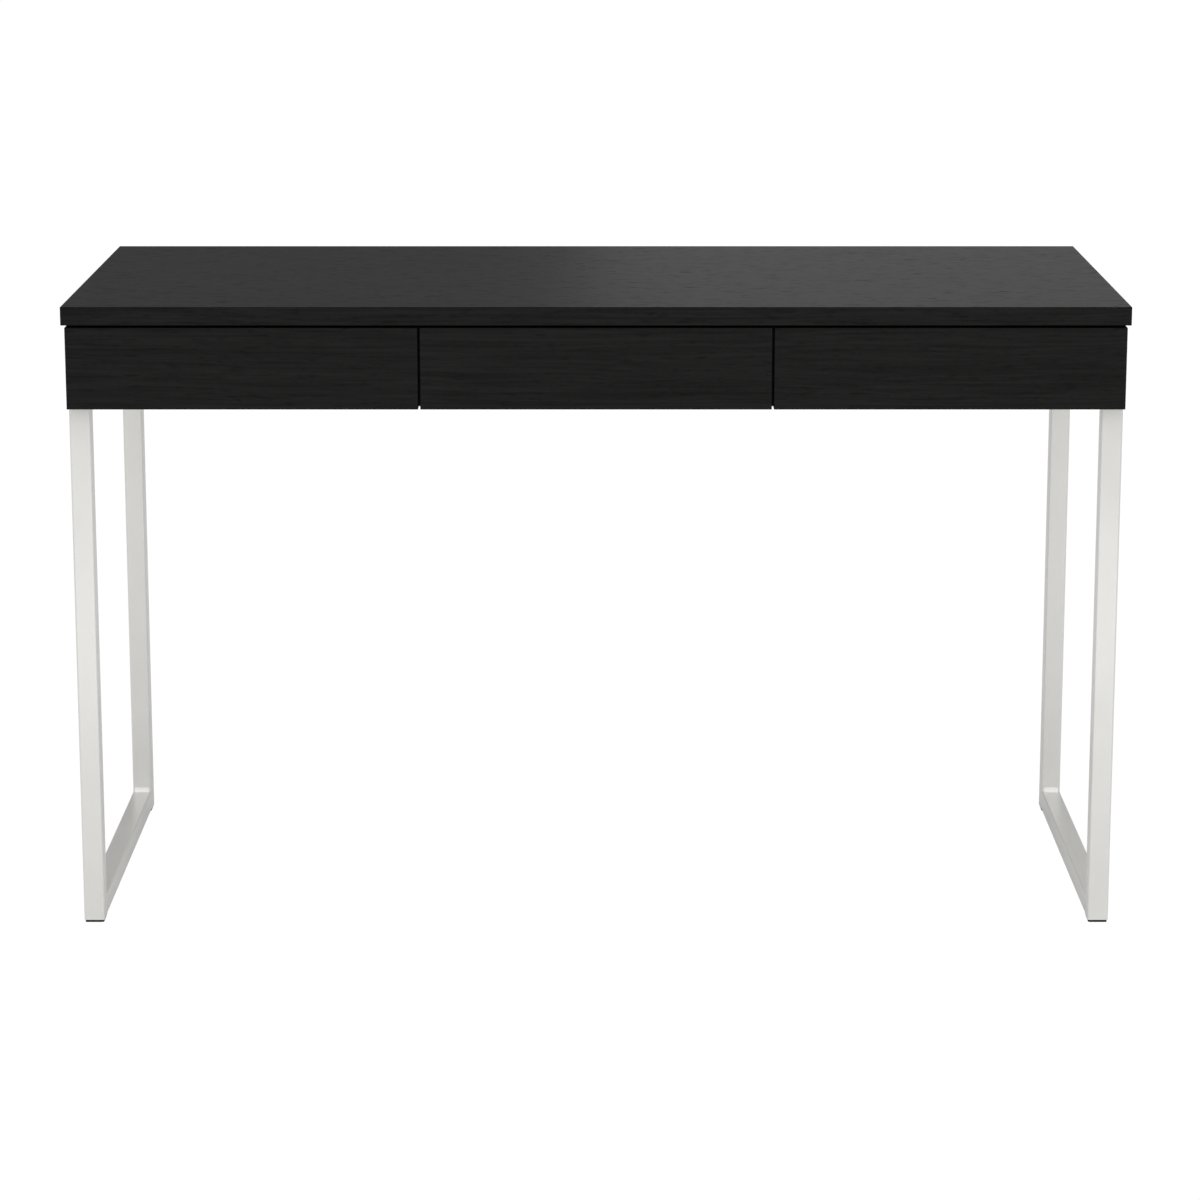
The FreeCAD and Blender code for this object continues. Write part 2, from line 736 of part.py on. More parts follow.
def dowels():
    """The dowels between the uprights and the desktop, and between the back and side panels."""
    body = new_body("dowels", 0, 0, top_underside)
    upright = new_sketch(body, "XY_Plane", dim.DowelAnchor)
    draw_circle(upright, -cam_line, -dim.DowelPitch / 2, dim.DowelRadius)
    standing = pad(upright, dim.DowelLength, reverse=True)
    repeat_grid(body, [standing], "X_Axis", 2, bay_pitch, "Y_Axis", 2, dim.DowelPitch)
    level = new_sketch(body, "YZ_Plane", -inner_width / 2 - dim.DowelAnchor)
    for up in back_joint_heights:
        height = inner_bottom + up - top_underside
        draw_circle(level, carcass_rear - dim.BackThick / 2, height, dim.DowelRadius)
    pad(level, dim.DowelLength)
    mirror_all(body, "YZ_Plane")


def back_screws():
    """The screws through the back panel into the rear edges of the partitions."""
    body = new_body("back_screws", -bay_pitch / 2, carcass_rear, inner_bottom + dim.BackJointHeight)
    section = new_sketch(body, "XY_Plane")
    shank = dim.BackScrewRadius
    head = dim.BackScrewHeadRadius
    draw_outline(section, [(0, -dim.BackScrewLength), (shank, -dim.BackScrewLength),
                           (shank, -dim.BackScrewHeadThick), (head, -dim.BackScrewHeadThick),
                           (head, 0), (0, 0)])
    screw = revolve(section, "V_Axis")
    socket = new_sketch(body, "XZ_Plane")
    draw_hexagon(socket, dim.HexFlat)
    socket_cut = pocket(socket, dim.HexDepth, reverse=True)
    repeat_grid(body, [screw, socket_cut], "X_Axis", 2, bay_pitch, "Z_Axis", 2, dim.BackJointPitch)


# ---------------------------------------------------------------- the runners

def bay_centre(bay):
    """The middle of a bay, and of the drawer box in it, across the width."""
    return bay_pitch * (BAYS.index(bay) - 1)


def bay_wall(bay, side):
    """The face of a bay's wall, across the width."""
    return bay_centre(bay) + (bay_width / 2 if side == "right" else -bay_width / 2)


def bay_runner(bay, side):
    """The channel of a roller runner on a bay's wall, with its roller's pin and its end stop."""
    turned = side == "right"
    y = channel_front + (dim.BoxLength if turned else 0)
    body = new_body(f"{bay}_bay_{side}_runner", bay_wall(bay, side), y, box_bottom + channel_bottom,
                    HALF_TURN if turned else 0)
    steel = dim.RunnerSteel
    reach = dim.ChannelReach
    high = channel_height
    section = new_sketch(body, "XZ_Plane")
    draw_outline(section, [(0, 0), (reach, 0), (reach, steel), (steel, steel), (steel, high - steel),
                           (reach, high - steel), (reach, high), (0, high)])
    pad(section, dim.BoxLength, reverse=True)

    def from_front(distance):
        return dim.BoxLength - distance if turned else distance

    axis_up = dim.RollerLift - channel_bottom
    pin_end = dim.BayRollerStart + dim.RollerWidth + dim.RollClear
    add_pin(body, from_front(dim.PinInset), axis_up, steel, pin_end, pin_end)
    stop_place = drawer_roller_open_y - dim.RollerRadius - channel_front
    stop = new_sketch(body, "XY_Plane", steel)
    draw_rectangle(stop, dim.StopStart, from_front(stop_place) - steel / 2, dim.StopWidth, steel)
    pad(stop, dim.StopHeight)
    first = dim.WallScrewPlace + (dim.WallScrewStagger if turned else 0)
    spots = [(from_front(place), high / 2) for place in (first, first + dim.WallScrewPitch)]
    drill(body, "left", 0, spots, dim.ScrewRadius + dim.ScrewHoleClear, steel)


def add_pin(body, y, up, start, end, head_start):
    """Rivet a roller's pin between two distances from the wall, with its head on it."""
    shank = new_sketch(body, "YZ_Plane", start)
    draw_circle(shank, y, up, dim.PinRadius)
    pad(shank, end - start)
    head = new_sketch(body, "YZ_Plane", head_start)
    draw_circle(head, y, up, dim.PinHeadRadius)
    pad(head, dim.PinHeadThick)


def drawer_runner(bay, side):
    """The member of a roller runner under a drawer's side, with its roller's pin."""
    turned = side == "right"
    y = front_rear + dim.RunnerInset + (member_length if turned else 0)
    body = new_body(f"{bay}_drawer_{side}_runner", bay_wall(bay, side), y, box_bottom,
                    HALF_TURN if turned else 0)
    steel = dim.RunnerSteel
    outer = dim.RunnerGap - steel
    under = dim.RunnerGap + dim.BoxThick
    section = new_sketch(body, "XZ_Plane")
    draw_outline(section, [(dim.FlangeStart, flange_underside), (outer, flange_underside),
                           (outer, -steel), (under, -steel), (under, 0), (dim.RunnerGap, 0),
                           (dim.RunnerGap, flange_top), (dim.FlangeStart, flange_top)])
    pad(section, member_length, reverse=True)

    def from_front(distance):
        return member_length - distance if turned else distance

    pin_start = dim.DrawerRollerStart - dim.RollClear
    add_pin(body, from_front(member_length - dim.PinInset), dim.RollerLift, pin_start, outer,
            pin_start - dim.PinHeadThick)
    line = dim.RunnerGap + dim.BoxThick / 2
    spots = [(line, from_front(place - dim.RunnerInset)) for place in flange_screw_places]
    drill(body, "bottom", -steel, spots, dim.ScrewRadius + dim.ScrewHoleClear, steel)


def roller_pair(label, bay, y, start):
    """Two rollers on one axis line, each starting at the same distance from its bay wall."""
    body = new_body(label, bay_centre(bay), y, box_bottom + dim.RollerLift)
    sketch = new_sketch(body, "YZ_Plane", start - bay_width / 2)
    draw_circle(sketch, 0, 0, dim.RollerRadius)
    pad(sketch, dim.RollerWidth)
    round_edges(body, dim.RollerRound, is_round)
    bore = new_sketch(body, "YZ_Plane", start - bay_width / 2)
    draw_circle(bore, 0, 0, dim.PinRadius + dim.PinClear)
    pocket(bore, dim.RollerWidth, reverse=True)
    mirror_all(body, "YZ_Plane")


def runner_screws():
    """The wafer-head screws that hold the channels on the bay walls."""
    body = new_body("runner_screws", 0, channel_front + dim.WallScrewPlace, box_bottom + channel_middle)
    wall_screws(body, -inner_width / 2, 1, 0)
    wall_screws(body, inner_width / 2, -1, dim.WallScrewStagger)


def wall_screws(body, wall, inward, y):
    """The screws on one hand of every bay: inward is +1 on a left wall and -1 on a right wall."""
    section = new_sketch(body, "XZ_Plane", -y)
    seat = wall + inward * dim.RunnerSteel
    crown = seat + inward * dim.WaferThick
    tip = seat - inward * dim.WallScrewLength
    draw_outline(section, [(tip, 0), (tip, dim.ScrewRadius), (seat, dim.ScrewRadius),
                           (seat, dim.ScrewHeadRadius), (crown, dim.ScrewHeadRadius), (crown, 0)])
    screw = revolve(section, "H_Axis")
    cross = new_sketch(body, "YZ_Plane", crown)
    draw_cross(cross, y, 0, dim.ScrewHeadRadius)
    recess = pocket(cross, dim.CrossDepth, reverse=inward < 0)
    pattern = repeat_grid(body, [screw, recess], "X_Axis", 3, bay_pitch, "Y_Axis", 2, dim.WallScrewPitch)
    pattern.Reversed = inward < 0


# ---------------------------------------------------------------- the drawers

def drawer_front(bay):
    """A drawer front, drilled and grooved behind for its box."""
    centre = front_pitch * (BAYS.index(bay) - 1)
    body = board(f"{bay}_drawer_front", centre - front_width / 2, front_face, body_bottom,
                 front_width, dim.FrontThick, dim.FrontHeight)
    middle = front_width / 2 + bay_centre(bay) - centre
    bolt_line = box_width / 2 - dim.BoxThick / 2
    lines = [middle + side * bolt_line for side in (-1, 1)]
    spots = [(line, dim.BoxLift + up) for line in lines for up in box_joint_heights]
    drill(body, "back", dim.FrontThick, spots, dim.CamBoltRadius + dim.HoleClear,
          dim.CamBoltAnchor + dim.HoleClear)
    groove_width = box_inside + 2 * dim.GrooveDepth
    mill(body, "back", dim.FrontThick, middle - groove_width / 2, dim.BoxLift + dim.GrooveLift,
         groove_width, groove_height, dim.GrooveDepth)


def drawer_side(bay, side):
    """A drawer's side, with its groove, cam holes and screw holes."""
    left = side == "left"
    x = bay_centre(bay) + (-box_width / 2 if left else box_width / 2 - dim.BoxThick)
    body = board(f"{bay}_drawer_{side}_side", x, front_rear, box_bottom,
                 dim.BoxThick, dim.BoxLength, dim.BoxHeight)
    inner, inner_reach = ("right", dim.BoxThick) if left else ("left", 0)
    outer, outer_reach = ("left", 0) if left else ("right", dim.BoxThick)
    mill(body, inner, inner_reach, 0, dim.GrooveLift, dim.BoxLength, groove_height, dim.GrooveDepth)
    spots = [(dim.BoxCamReach, up) for up in box_joint_heights]
    drill(body, inner, inner_reach, spots, dim.CamRadius + dim.HoleClear,
          dim.BoxCamDepth + dim.HoleClear)
    spots = [(dim.BoxThick / 2, up) for up in box_joint_heights]
    drill(body, "front", 0, spots, dim.CamBoltHeadRadius + dim.HoleClear, dim.BoxCamReach)
    spots = [(dim.BoxLength - dim.BoxThick / 2, up) for up in box_joint_heights]
    drill(body, outer, outer_reach, spots, dim.ScrewRadius + dim.HoleClear, dim.BoxThick)
    drill(body, outer, outer_reach, spots, dim.ScrewHeadRadius + dim.HoleClear, dim.BoxScrewHeadThick)
    spots = [(dim.BoxThick / 2, place) for place in flange_screw_places]
    drill(body, "bottom", 0, spots, dim.ScrewRadius + dim.HoleClear,
          dim.FlangeScrewLength - dim.RunnerSteel)


def drawer_back(bay):
    """A drawer's back, which stands on the bottom between the sides."""
    lift = dim.GrooveLift + groove_height
    body = board(f"{bay}_drawer_back", bay_centre(bay) - box_inside / 2,
                 front_rear + dim.BoxLength - dim.BoxThick, box_bottom + lift,
                 box_inside, dim.BoxThick, dim.BoxHeight - lift)
    spots = [(dim.BoxThick / 2, up - lift) for up in box_joint_heights]
    for face, reach in (("left", 0), ("right", box_inside)):
        drill(body, face, reach, spots, dim.ScrewRadius + dim.HoleClear,
              dim.BoxScrewLength - dim.BoxThick)


def drawer_bottom(bay):
    """A drawer's bottom sheet, held in the grooves of the sides and the front."""
    width = box_inside + 2 * dim.BottomTongue
    body = new_body(f"{bay}_drawer_bottom", bay_centre(bay) - width / 2, front_rear - dim.BottomTongue,
                    box_bottom + dim.GrooveLift + dim.GrooveSlack / 2)
    sketch = new_sketch(body, "XY_Plane")
    draw_rectangle(sketch, 0, 0, width, dim.BoxLength + dim.BottomTongue)
    pad(sketch, dim.BottomThick)


def drawer_fasteners(bay):
    """The cam fittings behind a drawer's front, the screws of its back and those of its runners."""
    body = new_body(f"{bay}_drawer_fasteners", bay_centre(bay), front_rear, box_bottom)
    low = dim.BoxJointHeight
    line = -box_width / 2 + dim.BoxThick / 2
    opening = cam_opening(body, "XZ_Plane", dim.CamRadius - dim.BoxCamReach, line, low)
    lock = cam_lock(body, -box_inside / 2, dim.BoxCamReach, low, dim.BoxCamDepth, opening)
    repeat(body, lock, "Z_Axis", 2, dim.BoxJointPitch)
    repeat(body, box_cam_bolt(body, line, low), "Z_Axis", 2, dim.BoxJointPitch)
    repeat(body, box_screw(body, low), "Z_Axis", 2, dim.BoxJointPitch)
    repeat(body, flange_screw(body, line), "Y_Axis", 2, dim.FlangeScrewPitch)
    mirror_all(body, "YZ_Plane")


def box_cam_bolt(body, line, up):
    """A cam bolt from a drawer's front into the cam in its side."""
    section = new_sketch(body, "XY_Plane", up)
    half_section = cam_bolt_section(dim.BoxCamReach)
    draw_outline(section, [(line + radius, along) for radius, along in half_section])
    return [revolve(section, draw_axis(section, (line, 0), (line, 1)))]


def box_screw(body, up):
    """A screw through a drawer's side into the end of its back."""
    outer = -box_width / 2
    seat = outer + dim.BoxScrewHeadThick
    y = dim.BoxLength - dim.BoxThick / 2
    section = new_sketch(body, "XY_Plane", up)
    shank = y + dim.ScrewRadius
    head = y + dim.ScrewHeadRadius
    tip = outer + dim.BoxScrewLength
    draw_outline(section, [(outer, y), (tip, y), (tip, shank), (seat, shank), (seat, head),
                           (outer, head)])
    screw = revolve(section, draw_axis(section, (outer, y), (tip, y)))
    cross = new_sketch(body, "YZ_Plane", outer)
    draw_cross(cross, y, up, dim.ScrewHeadRadius)
    return [screw, pocket(cross, 2 * dim.CrossDepth, reverse=True)]


def flange_screw(body, line):
    """A screw up through a runner's lower flange into the edge of a drawer's side."""
    y = dim.FlangeScrewPlace
    section = new_sketch(body, "XZ_Plane", -y)
    seat = -dim.RunnerSteel
    crown = seat - dim.WaferThick
    tip = seat + dim.FlangeScrewLength
    shank = line + dim.ScrewRadius
    head = line + dim.ScrewHeadRadius
    draw_outline(section, [(line, crown), (head, crown), (head, seat), (shank, seat), (shank, tip),
                           (line, tip)])
    screw = revolve(section, draw_axis(section, (line, crown), (line, tip)))
    cross = new_sketch(body, "XY_Plane", crown)
    draw_cross(cross, line, y, dim.ScrewHeadRadius)
    return [screw, pocket(cross, dim.CrossDepth, reverse=True)]


def drawer(bay):
    """Every piece of one drawer, and the rollers that carry it."""
    drawer_front(bay)
    drawer_back(bay)
    drawer_bottom(bay)
    drawer_fasteners(bay)
    for side in ("left", "right"):
        drawer_side(bay, side)
        drawer_runner(bay, side)
        bay_runner(bay, side)
    roller_pair(f"{bay}_bay_rollers", bay, bay_roller_y, dim.BayRollerStart)
    roller_pair(f"{bay}_drawer_rollers", bay, drawer_roller_y, dim.DrawerRollerStart)


# ---------------------------------------------------------------- the whole desk

def build():
    """Make every sub-part of the desk."""
    desktop()
    for hand in (-1, 1):
        side_panel(hand)
        partition(hand)
    back_panel()
    for side in ("left", "right"):
        leg_frame(side)
    frame_welds()
    foot_plugs()
    frame_bolts()
    insert_nuts()
    cam_locks()
    cam_bolts()
    dowels()
    back_screws()
    runner_screws()
    for bay in BAYS:
        drawer(bay)
    doc.recompute()


def check():
    """Stop unless every object is sound, every cut removes material and every shape is valid."""
    for item in doc.Objects:
        if {"Invalid", "Error"} & set(item.State):
            raise RuntimeError(f"{item.Label} in {item.getParentGeoFeatureGroup()} is {item.State}")
        if item.TypeId == "PartDesign::Pocket":
            removed = item.BaseFeature.Shape.Volume - item.Shape.Volume
            if removed < LEAST_CUT:
                body = item.getParentGeoFeatureGroup()
                raise RuntimeError(f"{item.Label} in {body.Label} cuts nothing")
    for body in sub_parts():
        if body.Shape.isNull() or not body.Shape.isValid():
            raise RuntimeError(f"{body.Label} has no valid shape")


def sub_parts():
    """List the bodies of the document."""
    return [item for item in doc.Objects if item.TypeId == "PartDesign::Body"]


def export():
    """Write each sub-part to its own STEP file, named after its label."""
    os.makedirs("parts", exist_ok=True)
    for body in sub_parts():
        body.Shape.exportStep(f"parts/{body.Label}.step")


build()
check()
export()
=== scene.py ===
import json
import math

import bmesh
import bpy
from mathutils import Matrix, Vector


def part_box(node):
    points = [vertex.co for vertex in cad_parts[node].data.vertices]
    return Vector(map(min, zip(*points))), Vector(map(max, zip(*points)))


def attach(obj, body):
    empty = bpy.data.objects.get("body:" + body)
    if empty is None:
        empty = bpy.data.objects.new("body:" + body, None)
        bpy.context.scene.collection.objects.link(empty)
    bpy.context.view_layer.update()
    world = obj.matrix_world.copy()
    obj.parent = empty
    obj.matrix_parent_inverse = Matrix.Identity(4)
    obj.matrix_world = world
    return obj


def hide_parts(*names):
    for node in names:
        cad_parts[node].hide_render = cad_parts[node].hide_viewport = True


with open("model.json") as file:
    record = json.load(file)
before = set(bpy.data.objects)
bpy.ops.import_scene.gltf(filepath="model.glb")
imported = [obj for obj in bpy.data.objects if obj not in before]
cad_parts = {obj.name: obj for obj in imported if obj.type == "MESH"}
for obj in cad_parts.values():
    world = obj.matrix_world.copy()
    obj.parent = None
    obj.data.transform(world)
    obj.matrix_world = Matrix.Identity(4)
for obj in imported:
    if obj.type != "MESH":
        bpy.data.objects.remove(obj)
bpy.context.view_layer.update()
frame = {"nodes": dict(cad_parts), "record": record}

# A writing desk with three drawers on two welded steel frames, dressed for its picture.
#
# Every board, tube and fitting is a CAD node from the imported model, and gets a procedural
# material here by the record's slot. The welds are modelled again as rippled beads, near white:
# their silver coat with a painted highlight in it. The desk stands on a pale floor under soft
# studio lights, and the camera sees floor and air as white.
# Lengths are in metres.

TURN = 2.0 * math.pi
RIGHT_ANGLE = 0.25 * TURN

# The camera looks along +Y and a little down, from in front of the desk and above its top.
CAMERA_PLACE = (0.0047, -4.286, 1.396)
CAMERA_TILT_DOWN = math.radians(11.38)
CAMERA_LENS = 104.0
CAMERA_SHIFT_Y = -0.12

# The floor lies a little under the feet, so that they show from below too.
FLOOR_HALF_SIDE = 40.0
FLOOR_DROP = 0.0002
CAMERA_REACH = 4.0 * FLOOR_HALF_SIDE

# How bright the floor and the air are to the camera.
WHITE = 1.02

# The light that the desk gets from all round, and what is left of it straight behind the desk.
# It falls from one to the other where the direction's Y, 1 straight behind, is between two values.
AMBIENT = 1.0
AMBIENT_BEHIND = 0.32
DIM_FROM_Y = 0.1
DIM_TO_Y = 0.9

# A weld bead fills an inner corner of a leg frame. It runs along X, reaches one leg out along
# each of the corner's two faces, and is sunk into them a little so that no light gets between.
BEAD_WIDTH = 0.020
BEAD_LEG = 0.0052
BEAD_SINK = 0.0002
BEAD_SLICES = 96
BEAD_ARC_STEPS = 8
# The bead's outline is part straight and part round, and it gets smaller only close to its ends.
BEAD_FLAT_SHARE = 0.45
BEAD_ROUND_SHARE = 0.55
BEAD_END_POWER = 20
BEAD_END_TAPER = 0.25
# The ripples' depth is a share of the bead's reach, and they run ahead in the middle of its arc.
RIPPLE_PITCH = 0.0016
RIPPLE_DEPTH = 0.05
RIPPLE_LEAD = 0.4

# A board's face is flat where its normal's largest part along one axis is at least this.
FLAT_COSINE = 0.985

# The wood grain's features, as noise scales along the grain and across it.
DRIFT_SCALES = (2.2, 9.0)
LINE_SCALES = (6.0, 310.0)
BAND_SCALES = (2.0, 70.0)
PORE_SCALES = (90.0, 900.0)
FLECK_SCALES = (55.0, 260.0)
PIT_SCALES = (45.0, 330.0)
# How far the drift bends the lines and bands, and how deep the pores lie under the grain.
DRIFT_REACH = 0.026
PORE_DEPTH = 0.5

GRAIN_DARK = (0.0050, 0.0049, 0.0048)
GRAIN_LIGHT = (0.0120, 0.0118, 0.0115)
# The foil is darker and rougher on the board's rounded edges and in its pits.
EDGE_AND_PIT_COLOUR = (0.004, 0.004, 0.004)
EDGE_AND_PIT_ROUGHNESS = 0.9

SILVER_DARK = (0.70, 0.695, 0.67)
SILVER_LIGHT = (0.76, 0.755, 0.73)
# The weld beads are near white, much lighter than the silver frame: the silver coat with a painted
# highlight in it.
BEAD_PAINTED_HIGHLIGHT_DARK = (0.93, 0.93, 0.92)
BEAD_PAINTED_HIGHLIGHT_LIGHT = (0.96, 0.96, 0.95)


# ---------------------------------------------------------------- materials

class Graph:
    """The node graph of one material, with the shader that its output shows."""

    def __init__(self, name):
        self.material = bpy.data.materials.new(name)
        self.material.use_nodes = True
        self.nodes = self.material.node_tree.nodes
        self.links = self.material.node_tree.links
        self.shader = self.nodes["Principled BSDF"]

    def add(self, kind, inputs=None, **settings):
        """Add a node. An input is a plain value or another node's output socket."""
        node = self.nodes.new(kind)
        for key, value in settings.items():
            setattr(node, key, value)
        for key, value in (inputs or {}).items():
            self.feed(node.inputs[key], value)
        return node

    def feed(self, socket, value):
        """Set an input socket to a value, or link it to an output socket."""
        if isinstance(value, bpy.types.NodeSocket):
            self.links.new(value, socket)
        else:
            socket.default_value = value

    def shade(self, **inputs):
        """Set the shader's own inputs, named with underscores for their spaces."""
        for key, value in inputs.items():
            self.feed(self.shader.inputs[key.replace("_", " ")], value)

    def math(self, operation, first, second=0.0):
        """The result of an operation on one or two values."""
        return self.add("ShaderNodeMath", {0: first, 1: second}, operation=operation).outputs[0]

    def summed(self, *layers):
        """The sum of some values, each times a share of its own."""
        parts = [self.math("MULTIPLY", value, share) for value, share in layers]
        total = parts[0]
        for part in parts[1:]:
            total = self.math("ADD", total, part)
        return total

    def vector(self, x, y, z):
        """A vector from its three values."""
        return self.add("ShaderNodeCombineXYZ", {0: x, 1: y, 2: z}).outputs[0]

    def scaled(self, vector, factors):
        """A vector multiplied by three factors."""
        inputs = {0: vector, 1: factors}
        return self.add("ShaderNodeVectorMath", inputs, operation="MULTIPLY").outputs[0]

    def shifted(self, vector, offset):
        """The sum of two vectors."""
        inputs = {0: vector, 1: offset}
        return self.add("ShaderNodeVectorMath", inputs, operation="ADD").outputs[0]

    def noise(self, vector, scale=1.0, detail=2.0, roughness=0.5):
        """A noise value from 0 to 1 that varies around 0.5."""
        inputs = {"Vector": vector, "Scale": scale, "Detail": detail, "Roughness": roughness}
        return self.add("ShaderNodeTexNoise", inputs).outputs["Fac"]

    def ramp(self, factor, *stops):
        """A colour picked by a factor from stops, which are a position and a grey or a colour."""
        node = self.add("ShaderNodeValToRGB", {"Fac": factor})
        elements = node.color_ramp.elements
        while len(elements) < len(stops):
            elements.new(0.5)
        for element, (position, colour) in zip(elements, stops):
            element.position = position
            element.color = (*rgb(colour), 1.0)
        return node.outputs["Color"]

    def mixed(self, factor, first, second):
        """A colour or a grey between two, which is the second one where the factor is 1."""
        node = self.add("ShaderNodeMix", data_type="RGBA")
        self.feed(node.inputs["Factor"], factor)
        colours = [socket for socket in node.inputs if socket.type == "RGBA"]
        for socket, colour in zip(colours, (first, second)):
            plain = not isinstance(colour, bpy.types.NodeSocket)
            self.feed(socket, (*rgb(colour), 1.0) if plain else colour)
        return next(socket for socket in node.outputs if socket.type == "RGBA")

    def arris(self):
        """1 on the rounded edges of a board, and 0 on its faces."""
        normal = self.add("ShaderNodeTexCoord").outputs["Normal"]
        sides = self.add("ShaderNodeSeparateXYZ", {0: normal}).outputs
        across, deep, high = (self.math("ABSOLUTE", side) for side in sides)
        flat = self.math("MAXIMUM", self.math("MAXIMUM", across, deep), high)
        return self.math("LESS_THAN", flat, FLAT_COSINE)

    def bump(self, height, strength, distance):
        """A normal that follows a height, in metres of distance at a height of 1."""
        inputs = {"Height": height, "Strength": strength, "Distance": distance}
        return self.add("ShaderNodeBump", inputs).outputs["Normal"]

    def place(self):
        """The place on the object, in metres."""
        return self.add("ShaderNodeTexCoord").outputs["Object"]


def rgb(colour):
    """A colour as three numbers, from a grey or from three numbers."""
    return (colour,) * 3 if isinstance(colour, float) else tuple(colour)


def woodgrain(name, along):
    """Black foil with a printed and pressed wood grain along an axis, 0 for X and 1 for Y."""
    graph = Graph(name)
    own = graph.add("ShaderNodeObjectInfo").outputs["Random"]
    place = graph.shifted(graph.place(), graph.vector(own, own, own))

    def streaks(vector, scales, detail, roughness=0.5):
        """Noise that is drawn out along the grain."""
        along_scale, across_scale = scales
        factors = [across_scale] * 3
        factors[along] = along_scale
        return graph.noise(graph.scaled(vector, factors), detail=detail, roughness=roughness)

    drift = graph.math("MULTIPLY", streaks(place, DRIFT_SCALES, 3.0), DRIFT_REACH)
    bent = graph.shifted(place, graph.vector(drift, drift, drift))
    lines = streaks(bent, LINE_SCALES, 3.0, 0.6)
    bands = streaks(bent, BAND_SCALES, 2.0)
    pores = graph.ramp(streaks(place, PORE_SCALES, 1.0), (0.60, 0.0), (0.72, 1.0))
    flecks = graph.ramp(streaks(place, FLECK_SCALES, 2.0), (0.58, 0.0), (0.70, 1.0))
    pits = graph.ramp(streaks(place, PIT_SCALES, 0.0), (0.76, 0.0), (0.80, 0.55))

    grain = graph.summed((lines, 0.75), (bands, 0.25), (pores, -0.12), (flecks, -0.13))
    height = graph.summed((grain, 1.0), (pores, -PORE_DEPTH))
    # Darker and rougher on the rounded edges and in the pits.
    edges_and_pits = graph.math("MAXIMUM", graph.arris(), pits)
    grained = graph.ramp(grain, (0.30, GRAIN_DARK), (0.62, GRAIN_LIGHT))
    matt = graph.ramp(flecks, (0.0, 0.43), (1.0, 0.50))
    graph.shade(Base_Color=graph.mixed(edges_and_pits, grained, EDGE_AND_PIT_COLOUR),
                Roughness=graph.mixed(edges_and_pits, matt, EDGE_AND_PIT_ROUGHNESS),
                Specular_IOR_Level=0.07, Normal=graph.bump(height, 0.35, 0.0003))
    return graph.material


def foil(name, dark, light, roughness):
    """Foil or lacquer on a board, almost smooth, with a fine pressed texture."""
    graph = Graph(name)
    place = graph.place()
    speckle = graph.noise(place, scale=900.0, detail=2.0)
    cloud = graph.noise(place, scale=6.0, detail=3.0)
    shade = graph.summed((speckle, 0.5), (cloud, 0.5))
    graph.shade(Base_Color=graph.ramp(shade, (0.35, dark), (0.65, light)), Specular_IOR_Level=0.3,
                Roughness=graph.ramp(cloud, (0.3, roughness), (0.7, roughness + 0.08)),
                Normal=graph.bump(speckle, 0.25, 0.0002))
    return graph.material


def powder_coat(name, dark, light, metallic, roughness, grain):
    """Baked paint on steel, with a fine orange peel."""
    graph = Graph(name)
    place = graph.place()
    peel = graph.noise(place, scale=grain, detail=2.0)
    cloud = graph.noise(place, scale=9.0, detail=3.0)
    flakes = graph.noise(place, scale=4200.0, detail=1.0)
    shade = graph.summed((flakes, 0.35), (cloud, 0.65))
    graph.shade(Base_Color=graph.ramp(shade, (0.3, dark), (0.7, light)), Metallic=metallic,
                Roughness=graph.ramp(cloud, (0.3, roughness), (0.7, roughness + 0.07)),
                Normal=graph.bump(peel, 0.18, 0.0002))
    return graph.material


def bare_metal(name, dark, light, roughness, grain):
    """Plated or cast metal, with uneven gloss."""
    graph = Graph(name)
    place = graph.place()
    spangle = graph.noise(place, scale=grain, detail=4.0, roughness=0.6)
    fine = graph.noise(place, scale=grain * 8.0, detail=1.0)
    graph.shade(Base_Color=graph.ramp(spangle, (0.35, dark), (0.65, light)), Metallic=1.0,
                Roughness=graph.ramp(spangle, (0.35, roughness), (0.65, roughness + 0.15)),
                Normal=graph.bump(fine, 0.2, 0.0001))
    return graph.material


def moulded(name, dark, light, roughness, grain, shine):
    """Moulded plastic, with a fine grain from its mould."""
    graph = Graph(name)
    place = graph.place()
    grains = graph.noise(place, scale=grain, detail=2.0)
    cloud = graph.noise(place, scale=40.0, detail=2.0)
    graph.shade(Base_Color=graph.ramp(cloud, (0.35, dark), (0.65, light)),
                Roughness=graph.ramp(cloud, (0.3, roughness), (0.7, roughness + 0.1)),
                Specular_IOR_Level=shine, Normal=graph.bump(grains, 0.3, 0.0001))
    return graph.material


def turned_beech(name):
    """Plain beech, with its flecks drawn out along Z."""
    graph = Graph(name)
    place = graph.scaled(graph.place(), (500.0, 500.0, 40.0))
    flecks = graph.noise(place, detail=3.0)
    dark, light = (0.42, 0.27, 0.16), (0.60, 0.43, 0.28)
    graph.shade(Base_Color=graph.ramp(flecks, (0.35, dark), (0.65, light)),
                Roughness=graph.ramp(flecks, (0.3, 0.6), (0.7, 0.7)),
                Normal=graph.bump(flecks, 0.2, 0.0001))
    return graph.material


